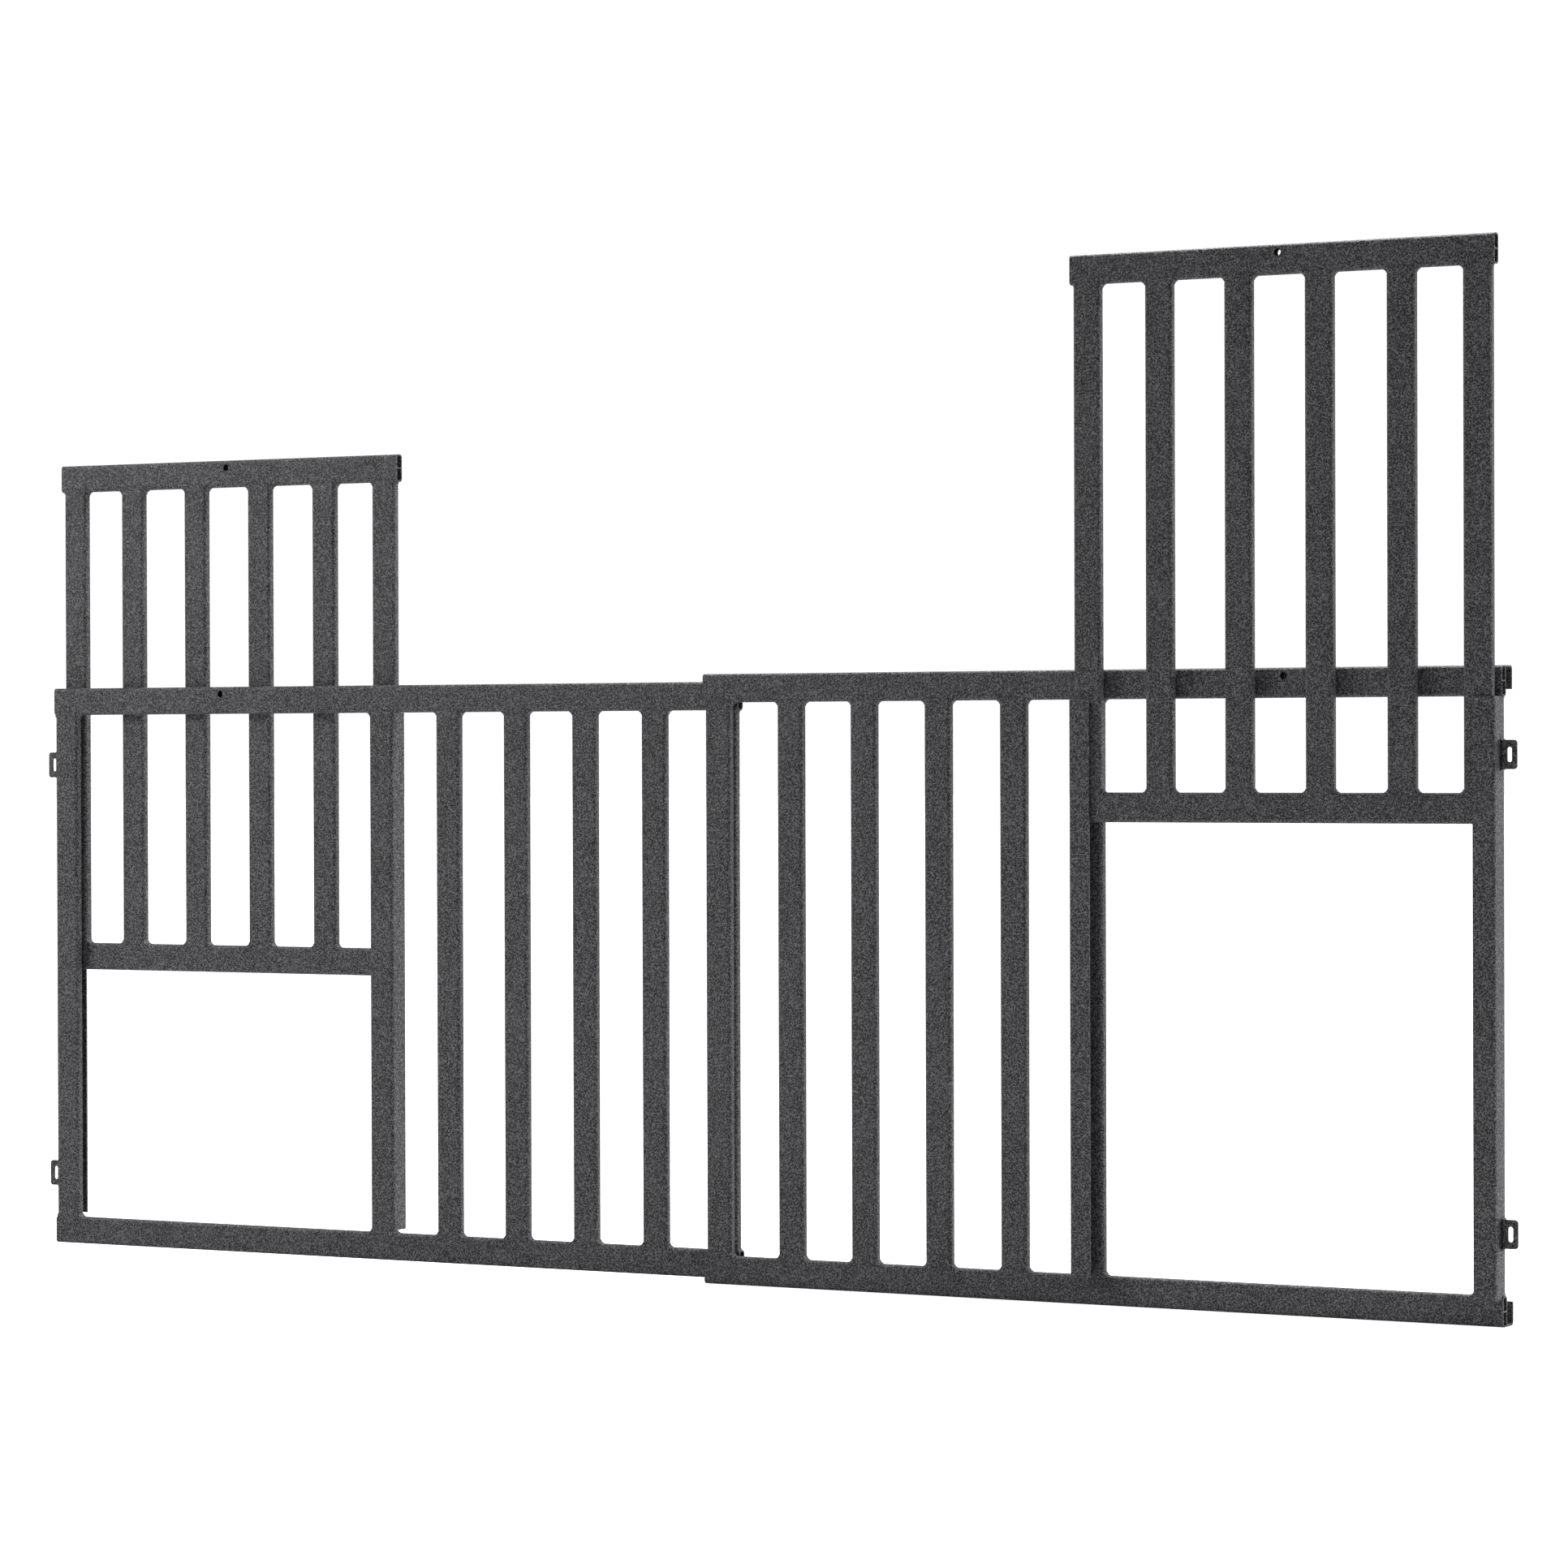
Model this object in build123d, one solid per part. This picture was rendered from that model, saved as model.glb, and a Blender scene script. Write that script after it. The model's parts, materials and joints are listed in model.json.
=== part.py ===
"""Expanding pen panel with two lift-up doors, welded from flat two-cell tube.

Two barred panels telescope: the left panel's rails run inside the hooks of the right
panel's rails, just behind its tubes. Each panel has a doorway at its outer end, closed
by a barred door that slides up and down in the hooks of the two posts beside it. The
left door runs behind its posts, the right door in front of them. Slotted tabs on the
two wall posts fix the panels to walls.

Axes: +X along the panels, -Y is the front face, +Z up. The origin is the middle of the
footprint: the right panel's bottom edge, half the length between the tab ends, and
half the depth. Units: millimetres.
"""
import os

from build123d import *

# ---- flat two-cell tube: every rail, post, stile and bar ---------------------------
TUBE_FACE = 32.0        # width of the broad face
TUBE_DEPTH = 11.5       # front to back
TUBE_CORNER = 4.0       # outer corner radius
TUBE_WALL = 1.5
TUBE_WEB = 1.5          # wall across the middle, between the two cells
COPE = 2.0              # how far a tube's end wraps over the rail that it meets

# ---- hook along the right panel's rails and the four posts beside the doorways -----
HOOK_POCKET = 15.5      # clear depth between the tube and the hook's lip
HOOK_WALL = 2.0
HOOK_LIP = 24.5         # width of the lip, from the hook's outer face
HOOK_CORNER = 4.0       # outer radius of the hook's bend

# ---- panels ------------------------------------------------------------------------
LEFT_HEIGHT = 668.0     # bottom of the bottom rail to top of the top rail
BAR_PITCH = 92.0
BAR_COUNT = 4           # bars in each panel, and in each door
WALL_OVERHANG = 1.0     # rail beyond the wall post
END_OVERHANG = 2.5      # rail beyond the end post
END_POST_STEP = 1.0     # left panel's end post, to the right of the right panel's

# ---- fit of the left panel's rails in the right panel's hooks ------------------------
SLIDE_GAP_UNDER = 3.0
SLIDE_GAP_OVER = 6.5
SLIDE_GAP_FRONT = 1.0

# ---- doors ---------------------------------------------------------------------------
DOOR_WIDTH = 477.0      # over the door's stiles
DOOR_HEIGHT = 607.0
DOOR_SIDE_GAP = 2.5     # stile to guide, each side
DOOR_REST_LAP = 1.0     # how far the door's top rail reaches over each guide
LEFT_DOOR_RAISE = 268.5     # height above closed, as built
RIGHT_DOOR_RAISE = 443.5

# ---- ends of the guides ----------------------------------------------------------------
LEFT_GUIDE_TRIM = 3.0   # left guides stop above the bottom rail
RIGHT_GUIDE_LAP = 3.0   # right guides lap over the bottom rail

# ---- lock holes through the top rails of panels and doors ------------------------------
LOCK_HOLE = 8.0         # diameter
LOCK_HOLE_DROP = 8.5    # centre below the rail's top, in the upper cell

# ---- slotted wall tabs -----------------------------------------------------------------
TAB_REACH = 18.0        # plate beyond the post's side
TAB_HEIGHT = 30.0
TAB_THICK = 2.0
TAB_LEG = 9.0           # leg welded against the post's side
TAB_CORNER = 3.5
TAB_BEND = 2.5          # outer radius of the bend
SLOT_WIDTH = 5.5
SLOT_LENGTH = 16.0
SLOT_OFFSET = 10.0      # slot centre from the post's side
TAB_DROP = 92.0         # upper tab's centre below the panel's top
TAB_SPACING = 493.0     # upper to lower tab

# ---- sizes and places that follow ------------------------------------------------------
CHANNEL = DOOR_WIDTH + 2 * DOOR_SIDE_GAP                 # between the guides' walls
GUIDE_SPAN = CHANNEL + 2 * HOOK_WALL                     # over the two posts at a doorway
BAR_FIELD = (BAR_COUNT + 1) * BAR_PITCH                  # jamb post to end post
DOOR_TOP_RAIL = CHANNEL + 2 * DOOR_REST_LAP
HOOK_REACH = TUBE_DEPTH + HOOK_POCKET + HOOK_WALL        # tube's face to the lip's back
DOOR_GAP = (HOOK_POCKET - TUBE_DEPTH) / 2                # door to tube, and door to lip

RIGHT_BOTTOM = 0.0
LEFT_BOTTOM = RIGHT_BOTTOM + HOOK_WALL + SLIDE_GAP_UNDER
LEFT_TOP = LEFT_BOTTOM + LEFT_HEIGHT
RIGHT_TOP = LEFT_TOP + SLIDE_GAP_OVER + HOOK_WALL

SPAN = 2 * GUIDE_SPAN + 2 * BAR_FIELD - TUBE_FACE - END_POST_STEP   # wall side to wall side
X_LEFT_WALL = -SPAN / 2                                  # left side of each post
X_LEFT_JAMB = X_LEFT_WALL + GUIDE_SPAN - TUBE_FACE
X_LEFT_END = X_LEFT_JAMB + BAR_FIELD
X_RIGHT_END = X_LEFT_END - END_POST_STEP
X_RIGHT_JAMB = X_RIGHT_END + BAR_FIELD
X_RIGHT_WALL = X_RIGHT_JAMB + GUIDE_SPAN - TUBE_FACE
X_LEFT_DOORWAY = X_LEFT_WALL + GUIDE_SPAN / 2            # middle of each doorway
X_RIGHT_DOORWAY = X_RIGHT_JAMB + GUIDE_SPAN / 2

Y_LEFT = SLIDE_GAP_FRONT / 2                             # front of the left panel's tubes
Y_RIGHT = -SLIDE_GAP_FRONT / 2                           # back of the right panel's tubes
Y_LEFT_DOOR = Y_LEFT + TUBE_DEPTH + DOOR_GAP             # front of the left door
Y_RIGHT_DOOR = Y_RIGHT - TUBE_DEPTH - DOOR_GAP           # back of the right door


# ---- sections: broad face along x from 0, depth along y from 0 ---------------------------
TUBE_MIDDLE = Pos(TUBE_FACE / 2, TUBE_DEPTH / 2)


def tube_outline():
    return TUBE_MIDDLE * RectangleRounded(TUBE_FACE, TUBE_DEPTH, TUBE_CORNER)


def tube_hollow():
    return TUBE_MIDDLE * RectangleRounded(TUBE_FACE - 2 * TUBE_WALL, TUBE_DEPTH - 2 * TUBE_WALL,
                                          TUBE_CORNER - TUBE_WALL)


def tube_section():
    """Flat tube with a wall across the middle."""
    return tube_outline() - (tube_hollow() - TUBE_MIDDLE * Rectangle(TUBE_WEB, TUBE_DEPTH))


def hook_section():
    """Wall that goes on from the tube's side at x = 0, bent into a lip at its far end."""
    far = HOOK_REACH
    near = far - HOOK_WALL
    blank = make_face(Polyline((0, TUBE_DEPTH), (0, far), (HOOK_LIP, far), (HOOK_LIP, near),
                               (HOOK_WALL, near), (HOOK_WALL, TUBE_DEPTH), close=True))
    outer = blank.vertices().sort_by_distance((0, far))[0]
    blank = fillet(outer, HOOK_CORNER)
    inner = blank.vertices().sort_by_distance((HOOK_WALL, near))[0]
    return fillet(inner, HOOK_CORNER - HOOK_WALL)


def root_section():
    """Squares off the tube's corner, so that the hook's wall grows out of it."""
    corner = Pos(TUBE_CORNER / 2, TUBE_DEPTH - TUBE_CORNER / 2)
    return corner * Rectangle(TUBE_CORNER, TUBE_CORNER) - tube_hollow()


def tab_section():
    """L-shaped tab, seen from above: a plate off the post's side and a leg along it."""
    far = TUBE_DEPTH + TAB_THICK
    blank = make_face(Polyline((0, far), (-TAB_REACH, far), (-TAB_REACH, TUBE_DEPTH),
                               (-TAB_THICK, TUBE_DEPTH), (-TAB_THICK, far - TAB_LEG),
                               (0, far - TAB_LEG), close=True))
    outer = blank.vertices().sort_by_distance((0, far))[0]
    return fillet(outer, TAB_BEND)


# ---- placing a section ---------------------------------------------------------------------
def along_x(section, x, y, z, length, hang=False):
    """A rail from x to x + length. Its face rises from z, or hangs down from z."""
    if hang:
        plane = Plane(origin=(x, y, z), x_dir=(0, 0, -1), z_dir=(1, 0, 0))
    else:
        plane = Plane(origin=(x + length, y, z), x_dir=(0, 0, 1), z_dir=(-1, 0, 0))
    return extrude(plane * section, amount=length)


def upright(section, x, y, low, high, face=1, depth=1):
    """A post from low to high. face and depth are its directions along X and Y."""
    up = face * depth
    start = low if up > 0 else high
    plane = Plane(origin=(x, y, start), x_dir=(face, 0, 0), z_dir=(0, 0, up))
    return extrude(plane * section, amount=high - low)


# ---- members ---------------------------------------------------------------------------------
class Frame:
    """Where a panel's or a door's two rails lie, and the uprights between them.

    top and bottom are the rails' left and right ends.
    """

    def __init__(self, y, low, high, top, bottom):
        self.y, self.low, self.high = y, low, high
        self.top, self.bottom = top, bottom
        self.clear_low = low + TUBE_FACE
        self.clear_high = high - TUBE_FACE
        self.envelope = (self.rail(tube_outline(), True) + self.rail(tube_outline(), False))

    def rail(self, section, is_top):
        left, right = self.top if is_top else self.bottom
        z = self.high if is_top else self.low
        return along_x(section, left, self.y, z, right - left, hang=is_top)

    def upright(self, x, face=1, depth=1):
        """A tube with its left side at x, its ends coped over the rails' rounded edges."""
        side = x if face > 0 else x + TUBE_FACE
        front = self.y if depth > 0 else self.y + TUBE_DEPTH
        blank = upright(tube_section(), side, front, self.clear_low - COPE,
                        self.clear_high + COPE, face, depth)
        return blank - self.envelope

    def guide_post(self, x, face, depth, hook_low):
        """An upright with a hook. Its wall is on the left if face is 1, else on the right."""
        side = x if face > 0 else x + TUBE_FACE
        front = self.y if depth > 0 else self.y + TUBE_DEPTH
        root = upright(root_section(), side, front, max(hook_low, self.clear_low),
                       self.clear_high, face, depth)
        hook = upright(hook_section(), side, front, hook_low, self.clear_high, face, depth)
        return self.upright(x, face, depth) + root + hook

    def tab(self, x, face, depth, z):
        """A slotted tab on the side of the wall post at x, its middle at height z."""
        side = x if face > 0 else x + TUBE_FACE
        front = self.y if depth > 0 else self.y + TUBE_DEPTH
        blank = upright(tab_section(), side, front, z - TAB_HEIGHT / 2, z + TAB_HEIGHT / 2,
                        face, depth)
        tip = side - face * TAB_REACH
        corners = blank.edges().filter_by(Axis.Y).filter_by(
            lambda edge: abs(edge.center().X - tip) < TAB_CORNER)
        blank = fillet(corners, TAB_CORNER)
        slot = Rot(90, 0, 0) * SlotOverall(SLOT_LENGTH, SLOT_WIDTH, rotation=90)
        cutter = extrude(slot, amount=HOOK_REACH, both=True)
        return blank - Pos(side - face * SLOT_OFFSET, front, z) * cutter


def drilled(rail, x, top):
    """The rail with its lock hole, through both broad faces of the upper cell."""
    drill = Cylinder(LOCK_HOLE / 2, 4 * HOOK_REACH, rotation=(90, 0, 0))
    return rail - Pos(x, 0, top - LOCK_HOLE_DROP) * drill


def bars(frame, middle):
    """Evenly spaced bars about the middle, left to right."""
    first = middle - (BAR_COUNT - 1) * BAR_PITCH / 2 - TUBE_FACE / 2
    return [frame.upright(first + i * BAR_PITCH) for i in range(BAR_COUNT)]


# ---- the two panels and their doors -------------------------------------------------------------
def left_panel():
    """Plain rails, guides open to the rear."""
    ends = (X_LEFT_WALL - WALL_OVERHANG, X_LEFT_END + TUBE_FACE + END_OVERHANG)
    frame = Frame(Y_LEFT, LEFT_BOTTOM, LEFT_TOP, ends, ends)
    hook_low = frame.clear_low + LEFT_GUIDE_TRIM
    field_middle = (X_LEFT_JAMB + X_LEFT_END + TUBE_FACE) / 2
    tab_high = LEFT_TOP - TAB_DROP
    nodes = {
        "left_top_rail": drilled(frame.rail(tube_section(), True), X_LEFT_DOORWAY, LEFT_TOP),
        "left_bottom_rail": frame.rail(tube_section(), False),
        "left_wall_post": frame.guide_post(X_LEFT_WALL, 1, 1, hook_low),
        "left_jamb_post": frame.guide_post(X_LEFT_JAMB, -1, 1, hook_low),
        "left_end_post": frame.upright(X_LEFT_END),
        "left_tab_upper": frame.tab(X_LEFT_WALL, 1, 1, tab_high),
        "left_tab_lower": frame.tab(X_LEFT_WALL, 1, 1, tab_high - TAB_SPACING),
    }
    for i, bar in enumerate(bars(frame, field_middle), 1):
        nodes[f"left_bar_{i}"] = bar
    return nodes


def right_panel():
    """Rails hooked to the rear, around the left panel's rails. Guides open to the front."""
    ends = (X_RIGHT_END - END_OVERHANG, X_RIGHT_WALL + TUBE_FACE + WALL_OVERHANG)
    frame = Frame(Y_RIGHT - TUBE_DEPTH, RIGHT_BOTTOM, RIGHT_TOP, ends, ends)
    hooked = [tube_section(), root_section(), hook_section()]
    top_rail, bottom_rail = (
        Part() + [frame.rail(section, is_top) for section in hooked] for is_top in (True, False))
    hook_low = frame.clear_low - RIGHT_GUIDE_LAP
    field_middle = (X_RIGHT_END + X_RIGHT_JAMB + TUBE_FACE) / 2
    tab_high = RIGHT_TOP - TAB_DROP
    nodes = {
        "right_top_rail": drilled(top_rail, X_RIGHT_DOORWAY, RIGHT_TOP),
        "right_bottom_rail": bottom_rail,
        "right_wall_post": frame.guide_post(X_RIGHT_WALL, -1, -1, hook_low),
        "right_jamb_post": frame.guide_post(X_RIGHT_JAMB, 1, -1, hook_low),
        "right_end_post": frame.upright(X_RIGHT_END),
        "right_tab_upper": frame.tab(X_RIGHT_WALL, -1, -1, tab_high),
        "right_tab_lower": frame.tab(X_RIGHT_WALL, -1, -1, tab_high - TAB_SPACING),
    }
    for i, bar in enumerate(bars(frame, field_middle), 1):
        nodes[f"right_bar_{i}"] = bar
    return nodes


def door(name, middle, y, top):
    """A barred door with its top rail at height top. Closed, that rail rests on the guides."""
    body = (middle - DOOR_WIDTH / 2, middle + DOOR_WIDTH / 2)
    wide = (middle - DOOR_TOP_RAIL / 2, middle + DOOR_TOP_RAIL / 2)
    frame = Frame(y, top - DOOR_HEIGHT, top, wide, body)
    nodes = {
        f"{name}_top_rail": drilled(frame.rail(tube_section(), True), middle, top),
        f"{name}_bottom_rail": frame.rail(tube_section(), False),
        f"{name}_left_stile": frame.upright(body[0]),
        f"{name}_right_stile": frame.upright(body[1] - TUBE_FACE),
    }
    for i, bar in enumerate(bars(frame, middle), 1):
        nodes[f"{name}_bar_{i}"] = bar
    return nodes


def main():
    os.makedirs("parts", exist_ok=True)
    nodes = {
        **left_panel(),
        **right_panel(),
        **door("left_door", X_LEFT_DOORWAY, Y_LEFT_DOOR, LEFT_TOP + LEFT_DOOR_RAISE),
        **door("right_door", X_RIGHT_DOORWAY, Y_RIGHT_DOOR - TUBE_DEPTH,
               RIGHT_TOP + RIGHT_DOOR_RAISE),
    }
    for name, shape in nodes.items():
        shape.label = name
        export_step(shape, f"parts/{name}.step")
        box = shape.bounding_box()
        print(f"{name:24s} {len(shape.solids())} solid  {box.size.X:8.1f} {box.size.Y:6.1f} "
              f"{box.size.Z:7.1f}")


main()
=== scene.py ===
"""Livestock panel gate with two lift doors: looks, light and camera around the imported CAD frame."""
import json
import math
import random

import bmesh
import bpy
from mathutils import Matrix, Vector

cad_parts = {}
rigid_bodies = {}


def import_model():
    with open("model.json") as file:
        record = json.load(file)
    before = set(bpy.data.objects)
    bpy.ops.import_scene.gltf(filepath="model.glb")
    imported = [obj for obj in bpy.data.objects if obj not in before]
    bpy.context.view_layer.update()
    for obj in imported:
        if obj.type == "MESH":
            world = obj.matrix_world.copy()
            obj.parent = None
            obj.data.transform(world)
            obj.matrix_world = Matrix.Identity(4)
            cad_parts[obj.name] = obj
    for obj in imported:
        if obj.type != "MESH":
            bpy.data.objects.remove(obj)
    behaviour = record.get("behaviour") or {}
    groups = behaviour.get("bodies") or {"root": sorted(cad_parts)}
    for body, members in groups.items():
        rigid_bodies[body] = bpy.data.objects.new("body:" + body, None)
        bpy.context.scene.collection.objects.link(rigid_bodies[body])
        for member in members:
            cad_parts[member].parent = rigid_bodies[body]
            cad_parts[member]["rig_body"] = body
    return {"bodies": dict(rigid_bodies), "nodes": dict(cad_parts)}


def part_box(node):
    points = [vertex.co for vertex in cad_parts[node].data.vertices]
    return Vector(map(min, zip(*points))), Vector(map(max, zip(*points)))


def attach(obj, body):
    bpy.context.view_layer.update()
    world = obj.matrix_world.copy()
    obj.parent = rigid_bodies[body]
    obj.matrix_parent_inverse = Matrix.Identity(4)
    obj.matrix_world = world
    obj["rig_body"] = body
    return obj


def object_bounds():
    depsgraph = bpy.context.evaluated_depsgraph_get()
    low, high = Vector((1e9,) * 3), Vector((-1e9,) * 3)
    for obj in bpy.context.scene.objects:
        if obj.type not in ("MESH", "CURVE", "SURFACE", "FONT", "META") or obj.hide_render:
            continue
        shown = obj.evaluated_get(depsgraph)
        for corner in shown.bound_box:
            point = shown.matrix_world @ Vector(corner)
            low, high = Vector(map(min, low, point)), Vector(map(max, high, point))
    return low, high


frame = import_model()
cad_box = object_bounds()

MM = 0.001
X, Y, Z = Vector((1, 0, 0)), Vector((0, 1, 0)), Vector((0, 0, 1))
WHITE = (1, 1, 1, 1)


class Graph:
    """The node tree of a material or of the world."""

    def __init__(self, owner):
        owner.use_nodes = True
        self.nodes = owner.node_tree.nodes
        self.links = owner.node_tree.links

    def feed(self, node, inputs):
        """Link each named or numbered input to an output, or set it to a value."""
        for name, value in inputs.items():
            if isinstance(value, bpy.types.NodeSocket):
                self.links.new(value, node.inputs[name])
            else:
                node.inputs[name].default_value = value

    def add(self, kind, inputs=None, **settings):
        """A new node's outputs."""
        node = self.nodes.new(kind)
        for name, value in settings.items():
            setattr(node, name, value)
        self.feed(node, inputs or {})
        return node.outputs

    def noise(self, place, scale, detail, roughness=0.5):
        inputs = {"Vector": place, "Scale": scale, "Detail": detail, "Roughness": roughness}
        return self.add("ShaderNodeTexNoise", inputs)

    def maths(self, operation, a, b, clamp=False):
        return self.add("ShaderNodeMath", {0: a, 1: b}, operation=operation, use_clamp=clamp)[0]

    def span(self, value, low, high, start=0.0, end=1.0, kind="LINEAR"):
        """Low to high as the value goes from start to end, and no further."""
        inputs = {"Value": value, "From Min": start, "From Max": end, "To Min": low, "To Max": high}
        return self.add("ShaderNodeMapRange", inputs, interpolation_type=kind)[0]


# ---- materials -----------------------------------------------------------------------------------
COAT_DARK = (0.001, 0.001, 0.0011, 1)
COAT_LIGHT = (0.19, 0.188, 0.2, 1)
CELLS = 390                 # cells of the coat to the metre, so each is about 2.5 mm across
WANDER = 3.4 * MM           # how far the cells' walls wander
VEIN = 0.26                 # share of a cell that a vein fades out over
GAPS = (0.38, 0.58)         # noise levels: no vein below the first, a whole one above the second
VEIN_TONE, GRIT_TONE, CLOUD_TONE = 0.95, 0.12, 0.15     # what each adds to the paleness
RELIEF = 0.35 * MM          # height of the veins
GRIT_RELIEF = 0.5           # height of the grit, as a share of that
MATT, GLOSSY = 0.55, 0.32   # roughness of the ground and of the veins


def hammertone(name):
    """Hammered powder coat: paler veins, raised a little over a dark ground."""
    mat = bpy.data.materials.new(name)
    graph = Graph(mat)
    shader = graph.nodes["Principled BSDF"]
    place = graph.add("ShaderNodeTexCoord")["Object"]

    # The veins follow the walls between cells. The walls wander, and the veins have gaps.
    drift = graph.noise(place, scale=270, detail=2)["Color"]
    inputs = {0: drift, 1: (WANDER, WANDER, WANDER), 2: place}
    shifted = graph.add("ShaderNodeVectorMath", inputs, operation="MULTIPLY_ADD")[0]
    inputs = {"Vector": shifted, "Scale": CELLS}
    wall = graph.add("ShaderNodeTexVoronoi", inputs, feature="DISTANCE_TO_EDGE")["Distance"]
    vein = graph.span(wall, 1.0, 0.0, end=VEIN, kind="SMOOTHSTEP")
    patchy = graph.noise(place, scale=520, detail=3, roughness=0.6)["Fac"]
    veins = graph.maths("MULTIPLY", vein, graph.span(patchy, 0.0, 1.0, *GAPS))

    grit = graph.noise(place, scale=1150, detail=2, roughness=0.6)["Fac"]
    cloud = graph.maths("SUBTRACT", graph.noise(place, scale=16, detail=3)["Fac"], 0.5)
    tone = graph.maths("ADD", graph.maths("MULTIPLY", veins, VEIN_TONE),
                       graph.maths("MULTIPLY", grit, GRIT_TONE))
    tone = graph.maths("ADD", tone, graph.maths("MULTIPLY", cloud, CLOUD_TONE), clamp=True)
    ramp = graph.nodes.new("ShaderNodeValToRGB")
    ramp.color_ramp.elements[0].color = COAT_DARK
    ramp.color_ramp.elements[1].color = COAT_LIGHT
    graph.feed(ramp, {"Fac": tone})

    relief = graph.maths("ADD", veins, graph.maths("MULTIPLY", grit, GRIT_RELIEF))
    bump = graph.add("ShaderNodeBump", {"Strength": 0.75, "Distance": RELIEF, "Height": relief})
    graph.feed(shader, {
        "Base Color": ramp.outputs["Color"],
        "Roughness": graph.span(tone, MATT, GLOSSY),
        "Normal": bump["Normal"],
        "Specular IOR Level": 0.28,
        "Coat Weight": 0.04,
        "Coat Roughness": 0.25})
    return mat


def coat_slot(body):
    """The record's material slot of everything on a body."""
    return "door_coat" if body.endswith("_door") else "panel_coat"


COATS = {name: hammertone(name) for name in ("panel_coat", "door_coat")}

for node in frame["nodes"].values():
    node.data.materials.clear()
    node.data.materials.append(COATS[coat_slot(node["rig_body"])])


# ---- weld beads ----------------------------------------------------------------------------------
EDGE = 4 * MM               # rounding of the tubes' corners

FILLET_LEG = 4.4 * MM       # reach of a corner bead along each of the two faces
FILLET_LEG_TAB = 2.6 * MM   # the same at a tab
FILLET_ROOM = 2 * MM        # a corner with less room than this has no bead
FILLET_PITCH = 0.8 * MM     # from ring to ring
FILLET_SIDES = 6            # facets across
FILLET_HOLLOW = 0.82        # 1 hollows the section to a quarter circle, and 0 leaves it square
FILLET_END = 0.2 * MM       # how far short of the tubes' faces it ends
FILLET_SUNK = 0.15 * MM     # how far its edges lie under the two faces
FILLET_ROOT = 0.4 * MM      # how far its inner corner lies behind both
FILLET_LEGS = (0.88, 1.05)  # spread of the legs from bead to bead
FILLET_RINGS = (0.96, 1.04)     # spread of the size from ring to ring
RIPPLE = 0.07               # share of the leg
RIPPLE_RINGS = 2.7          # rings from crest to crest

STRIP_LIGHT = (0.12 * MM, 2.6 * MM)     # height and half width
STRIP_HEAVY = (0.55 * MM, 3.4 * MM)     # the same at a wall post
STRIP_PITCH = 1.6 * MM      # from ring to ring
STRIP_SIDES = 6             # facets across
STRIP_END = 0.8 * MM        # how far short of the tube's edges it ends
STRIP_SHIFT = 0.6 * MM      # how far it lies over the rail from the line where the tubes meet
STRIP_RINGS = (0.75, 1.1)   # spread of the height from ring to ring
STRIP_SWAY = 0.25           # how far it strays up and down, as a share of its half width
STRIP_SUNK = 0.06 * MM      # how far its edges lie under the face
STRIP_ROOT = 0.5 * MM       # how far its inner edge does

MIN_STEPS = 8               # from the first ring to the last, even in the shortest bead


def recess(depth):
    """How far a tube's rounded corner falls back at this depth below its broad face."""
    if depth >= EDGE:
        return 0
    return EDGE - math.sqrt(EDGE ** 2 - (EDGE - depth) ** 2)


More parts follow.
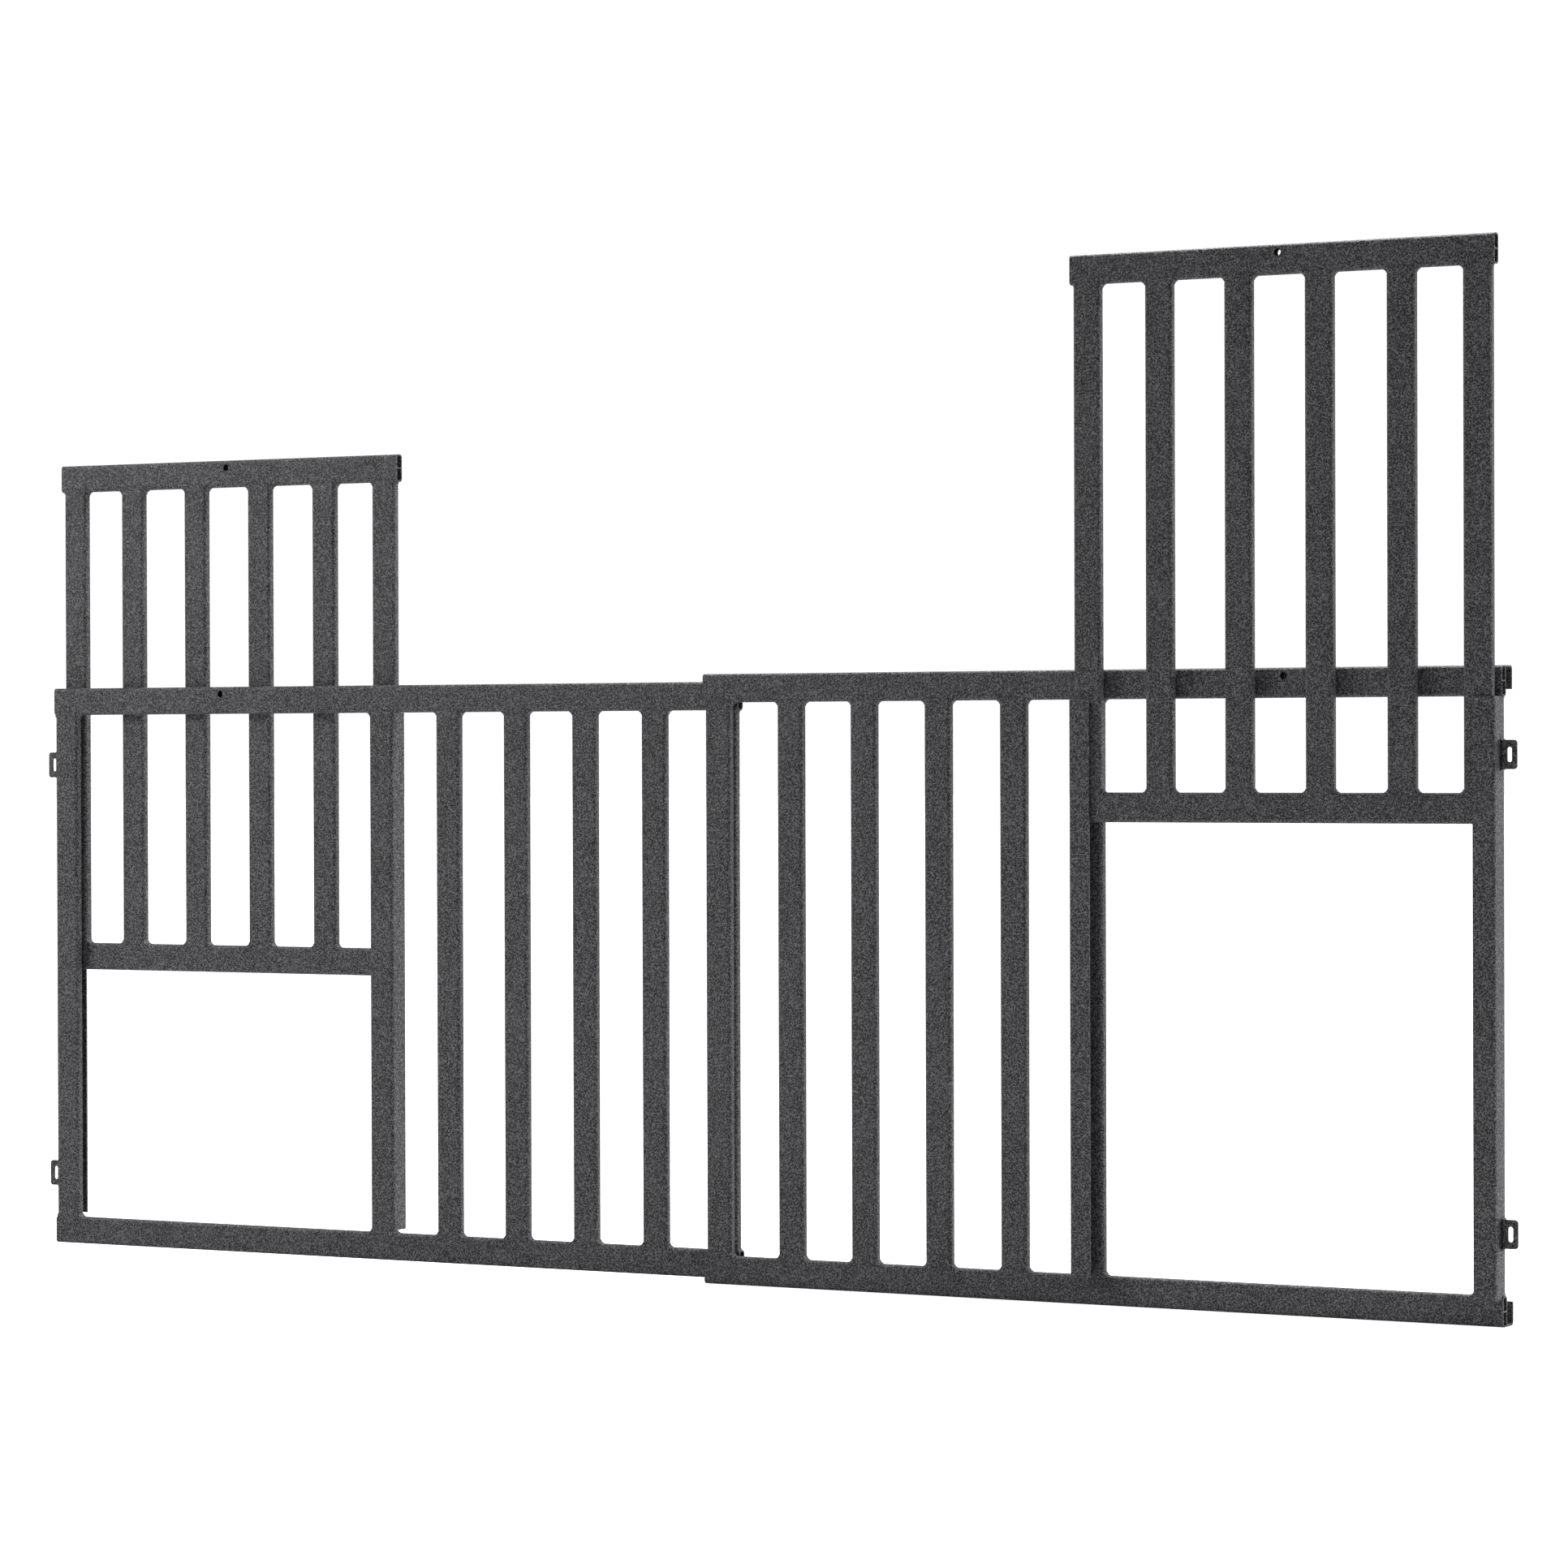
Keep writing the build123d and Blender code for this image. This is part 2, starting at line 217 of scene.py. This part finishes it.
class Beads:
    """All the weld beads of one body, as one mesh."""

    def __init__(self, body, seed):
        self.body = body
        self.mesh = bmesh.new()
        self.random = random.Random(seed)

    def skin(self, rings):
        """A closed tube through the rings, each a list of points."""
        rings = [[self.mesh.verts.new(point) for point in ring] for ring in rings]
        for low, high in zip(rings, rings[1:]):
            for k in range(len(low)):
                after = (k + 1) % len(low)
                self.mesh.faces.new((low[k], low[after], high[after], high[k]))
        self.mesh.faces.new(rings[0][::-1])
        self.mesh.faces.new(rings[-1])

    def fillet(self, corner, along, side, way, length, leg, rounded=True):
        """A rippled bead in the corner between two faces that run off along side and way."""
        steps = max(MIN_STEPS, round(length / FILLET_PITCH))
        phase = self.random.uniform(0, 2 * math.pi)
        rings = []
        for i in range(steps + 1):
            at = FILLET_END + (length - 2 * FILLET_END) * i / steps
            back = recess(min(at, length - at)) if rounded else 0
            size = leg * (1 + RIPPLE * math.sin(phase + 2 * math.pi * i / RIPPLE_RINGS))
            size = back + size * self.random.uniform(*FILLET_RINGS)
            root = corner + along * at - (side + way) * back
            ring = []
            for k in range(FILLET_SIDES + 1):
                turn = math.pi / 2 * k / FILLET_SIDES
                a = size * (1 - math.sin(turn) * FILLET_HOLLOW)
                b = size * (1 - math.cos(turn) * FILLET_HOLLOW)
                if k == 0:
                    b = -FILLET_SUNK
                if k == FILLET_SIDES:
                    a = -FILLET_SUNK
                ring.append(root + side * a + way * b)
            ring.append(root - (side + way) * FILLET_ROOT)
            rings.append(ring)
        self.skin(rings)

    def strip(self, start, along, out, length, height, half):
        """A low bead across a broad face, over the line where two tubes meet."""
        steps = max(MIN_STEPS, round(length / STRIP_PITCH))
        sway = [self.random.uniform(-STRIP_SWAY, STRIP_SWAY) for _ in range(steps + 1)]
        rings = []
        for i in range(steps + 1):
            middle = start + along * (length * i / steps) + Z * (sway[i] * half)
            rise = height * self.random.uniform(*STRIP_RINGS)
            ring = []
            for k in range(STRIP_SIDES + 1):
                across = -1 + 2 * k / STRIP_SIDES
                lift = rise * (1 - across ** 2) - STRIP_SUNK
                ring.append(middle + Z * (half * across) + out * lift)
            ring.append(middle - out * STRIP_ROOT)
            rings.append(ring)
        self.skin(rings)

    def finish(self):
        """The beads as one piece that rides on the body."""
        bmesh.ops.recalc_face_normals(self.mesh, faces=self.mesh.faces)
        mesh = bpy.data.meshes.new(self.body + "_welds")
        self.mesh.to_mesh(mesh)
        self.mesh.free()
        mesh.shade_smooth()
        mesh.materials.append(COATS[coat_slot(self.body)])
        obj = bpy.data.objects.new(self.body + "_welds", mesh)
        bpy.context.scene.collection.objects.link(obj)
        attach(obj, self.body)


def upright_beads(beads, name, bar, rail, seams):
    """Beads where an upright meets the rails: in the corners, and across the broad faces."""
    low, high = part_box(name)
    front, back = bar[0].y, bar[1].y
    length = bar[1].x - bar[0].x - 2 * STRIP_END
    height, half = STRIP_HEAVY if "wall_post" in name else STRIP_LIGHT
    for z, way in seams:
        for side, x, room in ((-X, low.x, low.x - rail[0].x), (X, high.x, rail[1].x - high.x)):
            if room > FILLET_ROOM:
                leg = min(FILLET_LEG, room) * beads.random.uniform(*FILLET_LEGS)
                beads.fillet(Vector((x, front, z)), Y, side, way, back - front, leg)
        for y, out in ((front, -Y), (back, Y)):
            start = Vector((low.x + STRIP_END, y, z - way.z * STRIP_SHIFT))
            beads.strip(start, X, out, length, height, half)


def tab_beads(beads, name):
    """Beads above and below a tab's leg, in the corner that it makes with the post's side."""
    low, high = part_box(name)
    x, side = (low.x, X) if low.x > 0 else (high.x, -X)
    for z, way in ((low.z, -Z), (high.z, Z)):
        corner = Vector((x, low.y, z))
        beads.fillet(corner, Y, side, way, high.y - low.y, FILLET_LEG_TAB, rounded=False)


def weld(body, seed):
    """Beads where the body's uprights meet its two rails, and round its tabs."""
    beads = Beads(body, seed)
    family = body.replace("_panel", "")
    bar, top, bottom = (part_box(f"{family}_{part}") for part in ("bar_1", "top_rail", "bottom_rail"))
    face = bar[1].x - bar[0].x
    seams = ((top[1].z - face, -Z), (bottom[0].z + face, Z))
    for name, obj in sorted(frame["nodes"].items()):
        if obj["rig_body"] != body or name.endswith("rail"):
            continue
        if "_tab_" in name:
            tab_beads(beads, name)
        else:
            upright_beads(beads, name, bar, bottom, seams)
    beads.finish()


for seed, body in enumerate(sorted(frame["bodies"])):
    weld(body, seed)


# ---- floor, light and camera ---------------------------------------------------------------------
FLOOR_RADIUS = 60           # metres, so that its edge is far off in every view
FLOOR_DROP = 1 * MM         # how far it lies below the gate
FLOOR_GLOW = 0.12           # what it throws up at the gate
FLOOR_WHITE = 1.0           # what the camera sees of it

ROOM_GLOW = 0.12            # light from the dim room in front of the gate
BACKDROP_GLOW = 0.95        # light from the backdrop behind it
BACKDROP_WHITE = 1.05       # what the camera sees of it
ROOM_END, BACKDROP_START = -0.35, 0.45      # Y of the direction where each begins to fade

CAMERA_PLACE = (2.872, -4.986, 0.597)
CAMERA_TURN = (29.263, 0.385, -0.178)       # degrees to the left, down and over
CAMERA_LENS, CAMERA_SENSOR = 118.18, 36     # mm


def floor():
    """A plain disc that shows white, but throws less than that up at the gate."""
    mesh = bpy.data.meshes.new("floor")
    disc = bmesh.new()
    bmesh.ops.create_circle(disc, cap_ends=True, segments=96, radius=FLOOR_RADIUS)
    disc.to_mesh(mesh)
    disc.free()
    mat = bpy.data.materials.new("floor")
    graph = Graph(mat)
    seen = graph.add("ShaderNodeLightPath")["Is Camera Ray"]
    graph.feed(graph.nodes["Principled BSDF"], {
        "Base Color": (0.6, 0.6, 0.6, 1),
        "Roughness": 0.9,
        "Specular IOR Level": 0.1,
        "Emission Color": WHITE,
        "Emission Strength": graph.span(seen, FLOOR_GLOW, FLOOR_WHITE)})
    mesh.materials.append(mat)
    obj = bpy.data.objects.new("floor", mesh)
    obj.location.z = cad_box[0].z - FLOOR_DROP
    bpy.context.scene.collection.objects.link(obj)


def surroundings():
    """A white backdrop that lights the gate from behind, and a dim room in front of it."""
    world = bpy.data.worlds.new("studio")
    graph = Graph(world)
    direction = graph.add("ShaderNodeTexCoord")["Generated"]
    depth = graph.add("ShaderNodeSeparateXYZ", {0: direction})["Y"]
    glow = graph.span(depth, ROOM_GLOW, BACKDROP_GLOW, start=ROOM_END, end=BACKDROP_START)
    seen = graph.add("ShaderNodeLightPath")["Is Camera Ray"]
    strength = graph.span(seen, glow, BACKDROP_WHITE)
    graph.feed(graph.nodes["Background"], {"Color": WHITE, "Strength": strength})
    bpy.context.scene.world = world


def softbox(name, place, aim, size, power):
    """A rectangular light, size metres by metres and power watts, turned to aim."""
    data = bpy.data.lights.new(name, "AREA")
    data.shape = "RECTANGLE"
    data.size, data.size_y = size
    data.energy = power
    obj = bpy.data.objects.new(name, data)
    obj.location = place
    obj.rotation_mode = "QUATERNION"
    obj.rotation_quaternion = (Vector(aim) - Vector(place)).to_track_quat("-Z", "Y")
    bpy.context.scene.collection.objects.link(obj)


def camera():
    """In front of the gate and to its right, 0.6 m up, looking nearly level at its middle."""
    yaw, pitch, roll = map(math.radians, CAMERA_TURN)
    ahead = Vector((-math.sin(yaw) * math.cos(pitch), math.cos(yaw) * math.cos(pitch),
                    -math.sin(pitch)))
    side = Vector((math.cos(yaw), math.sin(yaw), 0))
    up = side.cross(ahead)
    right = side * math.cos(roll) + up * math.sin(roll)
    top = up * math.cos(roll) - side * math.sin(roll)
    turn = Matrix((right, top, -ahead)).transposed().to_4x4()
    data = bpy.data.cameras.new("camera")
    data.lens = CAMERA_LENS
    data.sensor_width = CAMERA_SENSOR
    obj = bpy.data.objects.new("camera", data)
    obj.matrix_world = Matrix.Translation(CAMERA_PLACE) @ turn
    bpy.context.scene.collection.objects.link(obj)
    bpy.context.scene.camera = obj


bpy.context.scene.view_settings.view_transform = "Standard"
floor()
surroundings()
softbox("key", place=(-2.5, -1.7, 1.9), aim=(-0.1, 0, 0.5), size=(1.0, 1.0), power=50)
softbox("top", place=(0.5, 0.5, 2.8), aim=(0.4, 0.2, 0.5), size=(3.0, 0.6), power=120)
softbox("side", place=(3.2, 1.6, 1.0), aim=(0.5, 0, 0.45), size=(1.5, 1.5), power=30)
camera()
